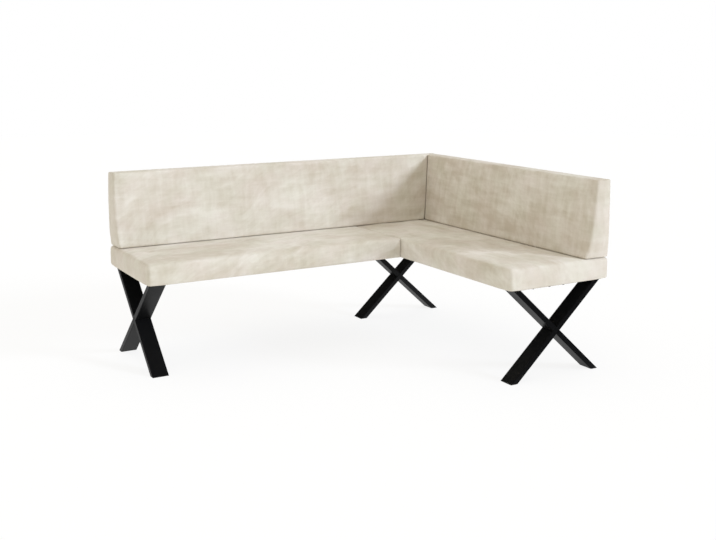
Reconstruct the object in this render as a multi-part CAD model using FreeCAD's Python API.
import FreeCAD, Part
import math
import os
from FreeCAD import Placement, Rotation, Vector

# Corner bench: two upholstered seats at right angles, two wedge-shaped backrests
# that meet in a mitre, and three crossed steel leg frames.
# Millimetres. +X runs along the long side towards the corner, +Y towards the wall
# behind the long side, +Z up. The origin is on the floor, under the middle of the
# bench's outline.

# Overall sizes
long_side = 1840.0          # outer length along the wall behind the long seat
short_side = 1410.0         # outer length along the wall behind the short seat
seat_depth = 556.0          # front edge to wall side
seat_underside = 415.0      # floor to the underside of the seats
seat_thickness = 95.0       # underside to the seat at the backrest line
overall_height = 860.0      # floor to the top of the backrests

# Upholstery
velvet = 2.0                # thickness of the velvet with its backing
seat_crown = 6.0            # rise of the seat's middle over its edges
seat_draw = 2.0             # how far the front edge pulls in between the corners
seat_edge_radius = 12.0     # soft edge of the seat
seat_end_radius = 10.0      # soft edge at the seat's ends
hem_width = 24.0            # velvet turned in under the seat
hem_thickness = 1.0
side_padding = 9.7          # foam between velvet and frame on every side
soft_gap = 0.3              # clearance between a soft piece and its neighbour
unit_gap = 0.6              # clearance between two upholstered units

# Backrest wedge
back_foot = 137.0           # thickness at the seat
back_head = 80.0            # thickness at the top
back_toe_height = 34.0      # height of the toe that spreads onto the seat
back_toe = 11.0             # how far the toe stands out from the leaning face
back_crown = 5.0            # bulge of the leaning face at mid length
back_draw = 3.0             # how far the leaning face pulls in at the ends
back_draw_length = 70.0     # length over which it pulls in
back_edge_radius = 12.0     # soft edge along the top
back_end_radius = 8.0       # soft edge at the free ends
back_front_foam = 24.0      # foam in front of the front panel
back_top_foam = 8.0
back_panel = 4.0            # rear and front panels
back_board = 18.0           # base rail, top rail and ribs

# Seat frame
rail_height = 30.0          # front rail, leg boards, cross rails
front_rail_width = 60.0
cross_rail_width = 40.0
leg_board_width = 100.0
beam_rail = 25.0            # thickness of the tall rails at the back
ledge = 18.0                # board under the velvet that carries a backrest
beam_depth = 130.0          # wall side to the front of the ledge
deck = 12.0                 # plywood under the foam
dust_cover = 1.0

# Leg frames
leg_setback = 31.0          # leg frame to the seat's front edge and wall side
leg_tube_depth = 75.0       # wide side of the tube
leg_tube_thickness = 25.0   # narrow side of the tube
leg_tube_wall = 2.0
leg_tube_radius = 3.0       # rounded long edges of the tube
leg_plate = 4.0             # top plate
foot_glide = 3.0            # plastic under the foot
foot_plug = 15.0            # plug inside the tube
plug_gap = 0.2              # clearance of the plug in the tube
leg_inset_end = 20.0        # leg frame to the free end of a seat
leg_inset_corner = 42.0     # corner leg frame to the wall side
leg_screw_margin = 18.0     # outer screws to the ledge rail
leg_screw_share = 0.3       # inner screws from the middle, as a share of the outer ones
leg_screw_row = 50.0        # distance between the two rows of screws

# Fasteners
leg_screw = 6.0
leg_screw_head = 12.0
leg_screw_head_height = 4.0
leg_screw_bite = 24.0       # depth in the leg board
bolt = 8.0
bolt_head = 13.0
bolt_head_height = 5.3
washer = 24.0
washer_thickness = 1.6
nut_height = 6.5
t_nut = 22.0
t_nut_flange = 1.5
t_nut_barrel = 10.0
t_nut_barrel_length = 9.0
hole_gap = 0.3              # clearance of a screw or bolt in its hole, on the radius
back_bolt_inset = 68.0      # wall side to the back bolts
back_bolt_end = 150.0       # seat end to the outer back bolts
back_bolt_count = 4
join_bolt_end = 57.0        # end of the join rail to its bolt
access_hole = 34.0          # opening in the dust cover under a bolt

# Places that follow from the sizes above
wall_x = long_side / 2
wall_y = short_side / 2
free_x = -long_side / 2
free_y = -short_side / 2
inner_x = wall_x - seat_depth
inner_y = wall_y - seat_depth
seat_height = seat_underside + seat_thickness
long_seat_length = inner_x - unit_gap - free_x
short_seat_length = short_side
frame_bottom = seat_underside + hem_thickness
frame_inset = velvet + soft_gap + side_padding
ledge_top = seat_height - velvet - soft_gap
ledge_bottom = ledge_top - ledge
deck_bottom = frame_bottom + rail_height
deck_top = deck_bottom + deck
back_bottom = seat_height + unit_gap
back_line = seat_depth - back_foot
beam_front = seat_depth - beam_depth
leg_width = seat_depth - 2 * leg_setback
leg_bore_radius = leg_tube_radius - leg_tube_wall
plate_bottom = seat_underside - leg_plate
join_height = frame_bottom + rail_height / 2
tau = 2 * math.pi

os.makedirs("parts", exist_ok=True)


def save(name, solids):
    """Write one named node: a solid, or a group of separate solids."""
    solids = [piece for shape in solids for piece in shape.Solids]
    shape = solids[0] if len(solids) == 1 else Part.makeCompound(solids)
    shape.exportStep("parts/" + name + ".step")


def box(low, high):
    return Part.makeBox(high[0] - low[0], high[1] - low[1], high[2] - low[2], Vector(*low))


def rod(radius, length, base, direction=(0, 0, 1)):
    return Part.makeCylinder(radius, length, Vector(*base), Vector(*direction))


def line(start, end):
    return Part.LineSegment(start, end).toShape()


def arc(start, middle, end):
    return Part.Arc(start, middle, end).toShape()


def long_place(shape):
    """Put a piece of the long seat or long backrest where it belongs.

    Each unit is drawn with its length along X from 0, its front edge at Y 0 and its
    wall side at Y = seat_depth.
    """
    placed = shape.copy()
    placed.translate(Vector(free_x, inner_y, 0))
    return placed


def short_place(shape):
    """Put a piece of the short seat or short backrest: X 0 is its corner end."""
    placed = shape.copy()
    placed.rotate(Vector(0, 0, 0), Vector(0, 0, 1), -90)
    placed.translate(Vector(inner_x, wall_y, 0))
    return placed


# Upholstered forms


class Corner:
    """A corner of an outline, with its rounding and the bulge of the side after it."""

    def __init__(self, y, z, radius=0.0, bulge=0.0):
        self.y = y
        self.z = z
        self.radius = radius
        self.bulge = bulge


def soft_outline(x, corners):
    """Close an outline at length x: sides between tangent roundings, arcs where a side bulges."""
    count = len(corners)
    points = [Vector(x, corner.y, corner.z) for corner in corners]
    ends = []
    edges = []
    for i, corner in enumerate(corners):
        back = (points[i - 1] - points[i]).normalize()
        ahead = (points[(i + 1) % count] - points[i]).normalize()
        if corner.radius == 0:
            ends.append((points[i], points[i]))
            continue
        half_angle = back.getAngle(ahead) / 2
        reach = corner.radius / math.tan(half_angle)
        first = points[i] + back * reach
        last = points[i] + ahead * reach
        inward = (back + ahead).normalize()
        top = points[i] + inward * (corner.radius / math.sin(half_angle) - corner.radius)
        edges.append(arc(first, top, last))
        ends.append((first, last))
    for i, corner in enumerate(corners):
        start = ends[i][1]
        end = ends[(i + 1) % count][0]
        if corner.bulge == 0:
            edges.append(line(start, end))
            continue
        along = (end - start).normalize()
        outward = Vector(0, -along.z, along.y)
        edges.append(arc(start, (start + end) * 0.5 + outward * corner.bulge, end))
    return Part.Wire(Part.__sortEdges__(edges))


def seat_section(x, inset, draw, crown):
    """Outline of a seat across its depth, with soft edges and a crowned top."""
    front = inset + draw
    rear = seat_depth - inset
    high = seat_height - inset
    radius = seat_edge_radius - inset
    return soft_outline(x, [
        Corner(front, seat_underside),
        Corner(front, high, radius, crown),
        Corner(back_line - inset, high),
        Corner(rear, high, radius),
        Corner(rear, seat_underside),
    ])


def soften_ends(form, low_x, high_x, low_z, radius):
    """Round the edges of the end faces, apart from those on the flat base."""
    chosen = []
    for edge in form.Edges:
        box_of_edge = edge.BoundBox
        on_low = low_x is not None and box_of_edge.XMax < low_x + 0.001
        on_high = high_x is not None and box_of_edge.XMin > high_x - 0.001
        if (on_low or on_high) and box_of_edge.ZMax > low_z + 0.001:
            chosen.append(edge)
    return form.makeFillet(radius, chosen)


def seat_form(length, inset, flat_start):
    """A seat's soft form, drawn in by inset on every side and on top.

    flat_start is the stretch from X 0 that stays flat under the other backrest.
    """
    rise = 0.2
    middle = (flat_start + length) / 2
    quarter = (flat_start + middle) / 2
    stations = [(inset, rise), (middle, seat_crown), (length - inset, rise)]
    stations.append((quarter, seat_crown * 0.7))
    stations.append((length - quarter + flat_start, seat_crown * 0.7))
    if flat_start > 0:
        stations.append((flat_start, rise))
    sections = []
    for x, crown in sorted(stations):
        share = (x - inset) / (length - 2 * inset)
        sections.append(seat_section(x, inset, seat_draw * 4 * share * (1 - share), crown))
    form = Part.makeLoft(sections, True, True)
    return soften_ends(form, inset, length - inset, seat_underside, seat_end_radius - inset)


def back_section(x, inset, bulge):
    """Outline of a backrest across its thickness: a wedge with a toe at its foot."""
    rear = seat_depth - inset
    low = back_bottom + inset
    high = overall_height - inset
    toe = seat_depth - back_foot + inset
    head = seat_depth - back_head + inset
    radius = back_edge_radius - inset
    return soft_outline(x, [
        Corner(rear, low),
        Corner(toe, low),
        Corner(toe + back_toe, low + back_toe_height - inset, 0.0, bulge),
        Corner(head, high, radius),
        Corner(rear, high, radius),
    ])


def back_form(length, inset, mitre_at_end):
    """A backrest's soft form, square at its free end and mitred at the corner."""
    stations = [(inset, -back_draw), (back_draw_length, 0.5), (length / 2, back_crown)]
    stations += [(length - back_foot, 0.5), (length + back_foot, 0.5)]
    if not mitre_at_end:
        stations = [(length - x, bulge) for x, bulge in stations]
    sections = [back_section(x, inset, bulge) for x, bulge in sorted(stations)]
    form = Part.makeLoft(sections, True, True)
    low_x = inset if mitre_at_end else None
    high_x = None if mitre_at_end else length - inset
    form = soften_ends(form, low_x, high_x, back_bottom + inset, back_end_radius - inset)
    return mitre(form, length, mitre_at_end, inset)


def mitre(shape, length, mitre_at_end, inset):
    """Cut a backrest piece at 45 degrees towards the corner of the two walls."""
    reach = 2 * seat_depth
    offset = (unit_gap / 2 + inset) * math.sqrt(2)
    corner_x = length - offset if mitre_at_end else offset
    sign = 1 if mitre_at_end else -1
    wedge = Part.Face(Part.makePolygon([
        Vector(corner_x, seat_depth, 0),
        Vector(corner_x - sign * reach, seat_depth - reach, 0),
        Vector(corner_x + sign * reach, seat_depth - reach, 0),
        Vector(corner_x + sign * reach, seat_depth, 0),
        Vector(corner_x, seat_depth, 0),
    ]))
    past = wedge.extrude(Vector(0, 0, 2 * overall_height))
    return shape.cut(past)


# Back bolts: places along a seat, drawn in the seat's own directions


def back_bolt_places(length, start):
    first = start + back_bolt_end
    step = (length - back_bolt_end - first) / (back_bolt_count - 1)
    return [(first + step * i, seat_depth - back_bolt_inset) for i in range(back_bolt_count)]


def back_bolt_holes(places, radius, low, high):
    return [rod(radius, high - low, (x, y, low)) for x, y in places]


def join_bolt_places():
    """Distances of the seat-join bolts from the long seat's front edge."""
    first = frame_inset + front_rail_width + join_bolt_end
    return [first, beam_front - join_bolt_end]


def join_hole(base, direction):
    """A hole from the seat join through the rail beside it."""
    depth = frame_inset + front_rail_width + 1
    return rod(bolt / 2 + hole_gap, depth, base, direction)


def leg_screw_offsets():
    """Offsets of the screws from the middle of a top plate, along it and across it."""
    outer = beam_front - seat_depth / 2 - leg_screw_margin
    return [(sign * along, side * leg_screw_row / 2)
            for along in (outer * leg_screw_share, outer) for sign in (-1, 1) for side in (-1, 1)]


# Seats


class Seat:
    """One seat in its own directions, with the holes that its fasteners need."""

    def __init__(self, length, flat_start, place, leg_places, bolt_places, join_holes):
        self.length = length
        self.flat_start = flat_start
        self.place = place
        self.leg_places = leg_places
        self.bolt_places = bolt_places
        self.join_holes = join_holes
        self.near = frame_inset
        self.far = length - frame_inset
        self.front = frame_inset
        self.rear = seat_depth - frame_inset
        self.deck_start = beam_depth if flat_start else self.near

    def screw_places(self):
        return [(x + across, y + along)
                for x, y in self.leg_places for along, across in leg_screw_offsets()]

    def drill(self, shape):
        """Open the holes that pass through this piece."""
        radius = leg_screw / 2 + hole_gap
        bottom = seat_underside - 1
        depth = frame_bottom + leg_screw_bite + 1 - bottom
        holes = [rod(radius, depth, (x, y, bottom)) for x, y in self.screw_places()]
        holes += back_bolt_holes(self.bolt_places, bolt / 2 + hole_gap, deck_top, back_bottom)
        holes += self.join_holes
        return shape.cut(Part.makeCompound(holes))

    def save(self, name, shapes):
        save(name, [self.place(self.drill(shape)) for shape in shapes])

    def cover(self):
        outer = seat_form(self.length, 0.0, self.flat_start)
        inner = seat_form(self.length, velvet, self.flat_start)
        inner = inner.cut(box((-1, -1, 0), (self.length + 1, seat_depth + 1, frame_bottom)))
        window = box((hem_width, hem_width, 0),
                     (self.length - hem_width, seat_depth - hem_width, frame_bottom))
        return outer.cut(inner).cut(window)

    def foam(self):
        form = seat_form(self.length, velvet + soft_gap, self.flat_start)
        gap = soft_gap
        room = [
            box((0, 0, 0), (self.length, seat_depth, frame_bottom + gap)),
            box((self.near - gap, self.front - gap, 0), (self.far + gap, self.rear + gap, deck_top + gap)),
            box((self.near - gap, beam_front - gap, 0), (self.far + gap, self.rear + gap, seat_height)),
        ]
        if self.flat_start:
            room.append(box((self.near - gap, self.front - gap, 0),
                            (beam_depth + gap, self.rear + gap, seat_height)))
        return form.cut(Part.makeCompound(room[:1])).cut(room[1].fuse(room[2:]))

    def dust_cover(self):
        edge = hem_width + soft_gap
        sheet = box((edge, edge, seat_underside),
                    (self.length - edge, seat_depth - edge, seat_underside + dust_cover))
        holes = [rod(access_hole / 2, dust_cover + 2, (x, y, seat_underside - 1))
                 for x, y in self.bolt_places]
        return sheet.cut(Part.makeCompound(holes))

    def front_rail(self):
        start = self.near if not self.flat_start else self.near + beam_rail
        return box((start, self.front, frame_bottom), (self.far, self.front + front_rail_width, deck_bottom))

    def rear_rail(self):
        return box((self.near, self.rear - beam_rail, frame_bottom), (self.far, self.rear, ledge_bottom))

    def ledge_rail(self):
        start = self.near if not self.flat_start else beam_depth
        return box((start, beam_front, frame_bottom), (self.far, beam_front + beam_rail, ledge_bottom))

    def ledge(self):
        return box((self.near, beam_front, ledge_bottom), (self.far, self.rear, ledge_top))

    def board(self, low_x, high_x):
        return box((low_x, self.front + front_rail_width, frame_bottom), (high_x, beam_front, deck_bottom))

    def deck(self):
        return box((self.deck_start, self.front, deck_bottom), (self.far, beam_front, deck_top))

    def cross_rails(self, low_x, high_x):
        """Two rails that divide the clear stretch into three."""
        step = (high_x - low_x) / 3
        half = cross_rail_width / 2
        return [self.board(low_x + step * i - half, low_x + step * i + half) for i in (1, 2)]


long_join_holes = [join_hole((long_seat_length, y, join_height), (-1, 0, 0)) for y in join_bolt_places()]
# The short seat meets the same bolts across its front rail.
short_join_holes = [join_hole((seat_depth - y, 0, join_height), (0, 1, 0)) for y in join_bolt_places()]

long_leg = leg_inset_end + leg_tube_depth / 2
leg_middle = seat_depth / 2
corner_leg = leg_inset_corner + leg_tube_depth / 2
short_leg = short_seat_length - long_leg

long_seat = Seat(long_seat_length, 0.0, long_place, [(long_leg, leg_middle)],
                 back_bolt_places(long_seat_length, 0.0), long_join_holes)
short_seat = Seat(short_seat_length, back_foot, short_place,
                  [(corner_leg, leg_middle), (short_leg, leg_middle)],
                  back_bolt_places(short_seat_length, back_foot), short_join_holes)


def save_seat(name, seat):
    seat.save(name + "_cover", [seat.cover()])
    seat.save(name + "_foam", [seat.foam()])
    seat.save(name + "_dust_cover", [seat.dust_cover()])
    seat.save(name + "_deck", [seat.deck()])
    seat.save(name + "_front_rail", [seat.front_rail()])
    seat.save(name + "_rear_rail", [seat.rear_rail()])
    seat.save(name + "_ledge_rail", [seat.ledge_rail()])
    seat.save(name + "_ledge", [seat.ledge()])


def save_long_seat():
    seat = long_seat
    save_seat("long_seat", seat)
    leg_board_end = seat.near + leg_board_width
    join_start = seat.far - cross_rail_width
    seat.save("long_seat_leg_board", [seat.board(seat.near, leg_board_end)])
    seat.save("long_seat_join_rail", [seat.board(join_start, seat.far)])
    seat.save("long_seat_cross_rails", seat.cross_rails(leg_board_end, join_start))


def save_short_seat():
    seat = short_seat
    save_seat("short_seat", seat)
    rear_start = seat.near + beam_rail
    outer = box((seat.near, seat.front, frame_bottom), (rear_start, seat.rear - beam_rail, ledge_bottom))
    inner = box((beam_depth - beam_rail, seat.front + front_rail_width, frame_bottom),
                (beam_depth, beam_front + beam_rail, ledge_bottom))
    board = box((rear_start, seat.front + front_rail_width, frame_bottom),
                (beam_depth - beam_rail, seat.rear - beam_rail, deck_bottom))
    corner_ledge = box((seat.near, seat.front, ledge_bottom), (beam_depth, beam_front, ledge_top))
    leg_board_start = seat.far - leg_board_width
    # One cross rail continues the long seat's front rail, the other stands halfway to the leg board.
    line_end = seat_depth - frame_inset
    middle_start = (line_end + leg_board_start - cross_rail_width) / 2
    cross_rails = [seat.board(line_end - cross_rail_width, line_end),
                   seat.board(middle_start, middle_start + cross_rail_width)]
    seat.save("short_seat_leg_board", [seat.board(leg_board_start, seat.far)])
    seat.save("short_seat_cross_rails", cross_rails)
    seat.save("corner_wall_rail", [outer])
    seat.save("corner_ledge_rail", [inner])
    seat.save("corner_leg_board", [board])
    seat.save("corner_ledge", [corner_ledge])


# Backrests


class Back:
    """One backrest in its own directions, mitred at its corner end."""

    def __init__(self, length, mitre_at_end, place, bolt_places):
        self.length = length
        self.mitre_at_end = mitre_at_end
        self.place = place
        self.bolt_places = bolt_places
        self.foot = back_bottom + velvet + soft_gap
        self.head = overall_height - velvet - soft_gap - back_top_foam
        self.rear = seat_depth - velvet - soft_gap
        self.start = frame_inset if mitre_at_end else 0.0
        self.end = length if mitre_at_end else length - frame_inset

    def drill(self, shape):
        """Open the bolt holes, wider where the T-nuts sit."""
        top = self.foot + back_board
        barrel_low = top - t_nut_barrel_length
        narrow = back_bolt_holes(self.bolt_places, bolt / 2 + hole_gap, seat_height, top + 1)
        wide = back_bolt_holes(self.bolt_places, t_nut_barrel / 2 + hole_gap, barrel_low, top + 1)
        return shape.cut(Part.makeCompound(narrow + wide))

    def save_frame(self, name, shapes):
        shapes = [mitre(shape, self.length, self.mitre_at_end, frame_inset) for shape in shapes]
        save(name, [self.place(self.drill(shape)) for shape in shapes])

    def prism(self, low, high, front_inset, start, end):
        """A bar with the frame's leaning front, set back from it by front_inset."""
        foot_y = seat_depth - back_foot + back_toe + back_front_foam + front_inset
        head_y = seat_depth - back_head + back_front_foam + front_inset
        slope = (head_y - foot_y) / (self.head - self.foot)
        low_front = foot_y + slope * (low - self.foot)
        high_front = foot_y + slope * (high - self.foot)
        points = [Vector(start, self.rear, low), Vector(start, low_front, low),
                  Vector(start, high_front, high), Vector(start, self.rear, high)]
        face = Part.Face(Part.makePolygon(points + points[:1]))
        return face.extrude(Vector(end - start, 0, 0))

    def board(self, low, high):
        """A board between the two panels."""
        bar = self.prism(low, high, back_panel, self.start, self.end)
        return bar.cut(box((self.start, self.rear - back_panel, low), (self.end, seat_depth, high)))

    def from_free_end(self, x):
        return x if self.mitre_at_end else self.length - x

    def rib_places(self):
        """Distances from the free end: a rib near each end, and one after each bolt where there is room."""
        bolts = sorted(self.from_free_end(x) for x, _ in self.bolt_places)
        half_step = (bolts[1] - bolts[0]) / 2
        corner_rib = self.length - back_foot
        places = [frame_inset + back_board]
        places += [x + half_step for x in bolts if x + 2 * half_step < corner_rib]
        return places + [corner_rib]

    def ribs(self):
        low = self.foot + back_board
        high = self.head - back_board
        between = self.board(low, high)
        ribs = []
        for place in self.rib_places():
            x = self.from_free_end(place)
            slot = box((x - back_board / 2, 0, low), (x + back_board / 2, seat_depth, high))
            ribs.append(between.common(slot))
        return ribs

    def front_panel(self):
        whole = self.prism(self.foot, self.head, 0.0, self.start, self.end)
        return whole.cut(self.prism(self.foot, self.head, back_panel, self.start, self.end))

    def rear_panel(self):
        return box((self.start, self.rear - back_panel, self.foot), (self.end, self.rear, self.head))

    def cover(self):
        outer = back_form(self.length, 0.0, self.mitre_at_end)
        return self.drill(outer.cut(back_form(self.length, velvet, self.mitre_at_end)))

    def foam(self):
        """Foam in front, on top and at the free end; the rear panel lies against the velvet."""
        gap = soft_gap
        low = self.foot - 1
        start = self.start - gap
        end = self.end + gap
        room = self.prism(low, self.head + gap, -gap, start, end)
        room = room.fuse(box((start, self.rear - back_panel, low), (end, seat_depth, self.head + gap)))
        room = mitre(room, self.length, self.mitre_at_end, frame_inset - gap)
        return back_form(self.length, velvet + gap, self.mitre_at_end).cut(room)


def save_back(name, back):
    back.save_frame(name + "_rear_panel", [back.rear_panel()])
    back.save_frame(name + "_front_panel", [back.front_panel()])
    back.save_frame(name + "_base_rail", [back.board(back.foot, back.foot + back_board)])
    back.save_frame(name + "_top_rail", [back.board(back.head - back_board, back.head)])
    back.save_frame(name + "_ribs", back.ribs())
    save(name + "_cover", [back.place(back.cover())])
    save(name + "_foam", [back.place(back.foam())])


# Leg frames, drawn in their own directions: the X lies in the plane of X and Z, from
# X 0 to leg_width, and the tube's wide side runs along Y from 0


def tube_angle():
    """Slope of the bars, so that the cut ends reach both corners of the X."""
    return (math.atan2(seat_underside, leg_width)
            + math.asin(leg_tube_thickness / math.hypot(leg_width, seat_underside)))


def tube_block(inset, radius, rising, extra_depth=0.0):
    """A solid bar along one diagonal, drawn in from the tube's outside by inset."""
    length = 2 * leg_width
    thickness = leg_tube_thickness - 2 * inset
    depth = leg_tube_depth - 2 * inset + extra_depth
    block = Part.makeBox(length, depth, thickness, Vector(-length / 2, -depth / 2, -thickness / 2))
    if radius > 0:
        block = block.makeFillet(radius, [edge for edge in block.Edges if edge.Length > length - 1])
    angle = math.degrees(tube_angle())
    block.rotate(Vector(0, 0, 0), Vector(0, 1, 0), -angle if rising else angle)
    block.translate(Vector(leg_width / 2, leg_tube_depth / 2, seat_underside / 2))
    return block


def between_heights(shape, low, high):
    slab = box((-leg_width, -leg_tube_depth, low), (2 * leg_width, 2 * leg_tube_depth, high))
    return shape.common(slab)


def hollow_bar(rising):
    bar = tube_block(0.0, leg_tube_radius, rising)
    bore = tube_block(leg_tube_wall, leg_bore_radius, rising)
    return between_heights(bar.cut(bore), foot_glide, plate_bottom)


def foot_plugs():
    """A glide under each foot with a plug that fills the tube's end."""
    plugs = []
    for rising in (True, False):
        glide = between_heights(tube_block(0.0, leg_tube_radius, rising), 0.0, foot_glide)
        core = tube_block(leg_tube_wall + plug_gap, leg_bore_radius, rising)
        plugs.append(glide.fuse(between_heights(core, foot_glide, foot_glide + foot_plug)))
    return plugs


def top_plate():
    plate = box((0, 0, plate_bottom), (leg_width, leg_tube_depth, seat_underside))
    radius = leg_screw / 2 + hole_gap
    middle_x = leg_width / 2
    middle_y = leg_tube_depth / 2
    holes = [rod(radius, leg_plate + 2, (middle_x + along, middle_y + across, plate_bottom - 1))
             for along, across in leg_screw_offsets()]
    return plate.cut(Part.makeCompound(holes))


def leg_screws():
    screws = []
    for along, across in leg_screw_offsets():
        x = leg_width / 2 + along
        y = leg_tube_depth / 2 + across
        head = rod(leg_screw_head / 2, leg_screw_head_height, (x, y, plate_bottom - leg_screw_head_height))
        shank = rod(leg_screw / 2, frame_bottom + leg_screw_bite - plate_bottom, (x, y, plate_bottom))
        screws.append(head.fuse(shank))
    return screws


def leg_pieces():
    through = hollow_bar(True)
    crossing = tube_block(0.0, 0.0, True, extra_depth=2.0)
    halves = sorted(hollow_bar(False).cut(crossing).Solids, key=lambda half: half.CenterOfMass.z)
    return {
        "through_bar": [through],
        "lower_bar": [halves[0]],
        "upper_bar": [halves[1]],
        "top_plate": [top_plate()],
    }


def place_leg(shape, corner, turn):
    placed = shape.copy()
    placed.rotate(Vector(0, 0, 0), Vector(0, 0, 1), turn)
    placed.translate(Vector(corner[0], corner[1], 0))
    return placed


def save_legs():
    places = {
        "left_leg": ((free_x + leg_inset_end + leg_tube_depth, inner_y + leg_setback), 90),
        "right_leg": ((inner_x + leg_setback, free_y + leg_inset_end), 0),
        "corner_leg": ((inner_x + leg_setback, wall_y - leg_inset_corner - leg_tube_depth), 0),
    }
    screws = []
    plugs = []
    for leg, (corner, turn) in places.items():
        for piece, solids in leg_pieces().items():
            save(leg + "_" + piece, [place_leg(solid, corner, turn) for solid in solids])
        screws += [place_leg(screw, corner, turn) for screw in leg_screws()]
        plugs += [place_leg(plug, corner, turn) for plug in foot_plugs()]
    save("leg_screws", screws)
    save("foot_plugs", plugs)


# Fasteners


def hexagon(across_flats, height, base, direction):
    """A hexagonal prism that starts at base and rises along direction."""
    radius = across_flats / math.sqrt(3)
    corners = [Vector(radius * math.cos(tau * i / 6), radius * math.sin(tau * i / 6), 0) for i in range(7)]
    prism = Part.Face(Part.makePolygon(corners)).extrude(Vector(0, 0, height))
    prism.Placement = Placement(Vector(*base), Rotation(Vector(0, 0, 1), Vector(*direction)))
    return prism


def ring(outer, inner, height, base, direction=(0, 0, 1)):
    return rod(outer / 2, height, base, direction).cut(rod(inner / 2, height, base, direction))


def save_back_fasteners():
    foot = back_bottom + velvet + soft_gap
    top = foot + back_board
    under = ledge_bottom - washer_thickness
    bolts = []
    washers = []
    nuts = []
    for seat in (long_seat, short_seat):
        for x, y in seat.bolt_places:
            head = hexagon(bolt_head, bolt_head_height, (x, y, under - bolt_head_height), (0, 0, 1))
            shank = rod(bolt / 2, top + t_nut_flange - under, (x, y, under))
            bolts.append(seat.place(head.fuse(shank)))
            clear = bolt + 2 * hole_gap
            washers.append(seat.place(ring(washer, clear, washer_thickness, (x, y, under))))
            barrel = ring(t_nut_barrel, clear, t_nut_barrel_length, (x, y, top - t_nut_barrel_length))
            flange = ring(t_nut, clear, t_nut_flange, (x, y, top))
            nuts.append(seat.place(barrel.fuse(flange)))
    save("back_bolts", bolts)
    save("back_washers", washers)
    save("back_t_nuts", nuts)


def save_join_fasteners():
    height = join_height
    start = free_x + long_seat_length - frame_inset - cross_rail_width
    end = inner_x + frame_inset + front_rail_width
    clear = bolt + 2 * hole_gap
    bolts = []
    washers = []
    nuts = []
    for place in join_bolt_places():
        y = inner_y + place
        seat_start = start - washer_thickness
        seat_end = end + washer_thickness
        head = hexagon(bolt_head, bolt_head_height, (seat_start - bolt_head_height, y, height), (1, 0, 0))
        shank = rod(bolt / 2, seat_end + nut_height - seat_start, (seat_start, y, height), (1, 0, 0))
        bolts.append(head.fuse(shank))
        washers.append(ring(washer, clear, washer_thickness, (seat_start, y, height), (1, 0, 0)))
        washers.append(ring(washer, clear, washer_thickness, (end, y, height), (1, 0, 0)))
        nut = hexagon(bolt_head, nut_height, (seat_end, y, height), (1, 0, 0))
        nuts.append(nut.cut(rod(bolt / 2, nut_height, (seat_end, y, height), (1, 0, 0))))
    save("join_bolts", bolts)
    save("join_washers", washers)
    save("join_nuts", nuts)


save_long_seat()
save_short_seat()
save_back("long_back", Back(long_side, True, long_place, long_seat.bolt_places))
save_back("short_back", Back(short_side, False, short_place, short_seat.bolt_places))
save_legs()
save_back_fasteners()
save_join_fasteners()
print("nodes", len(os.listdir("parts")))
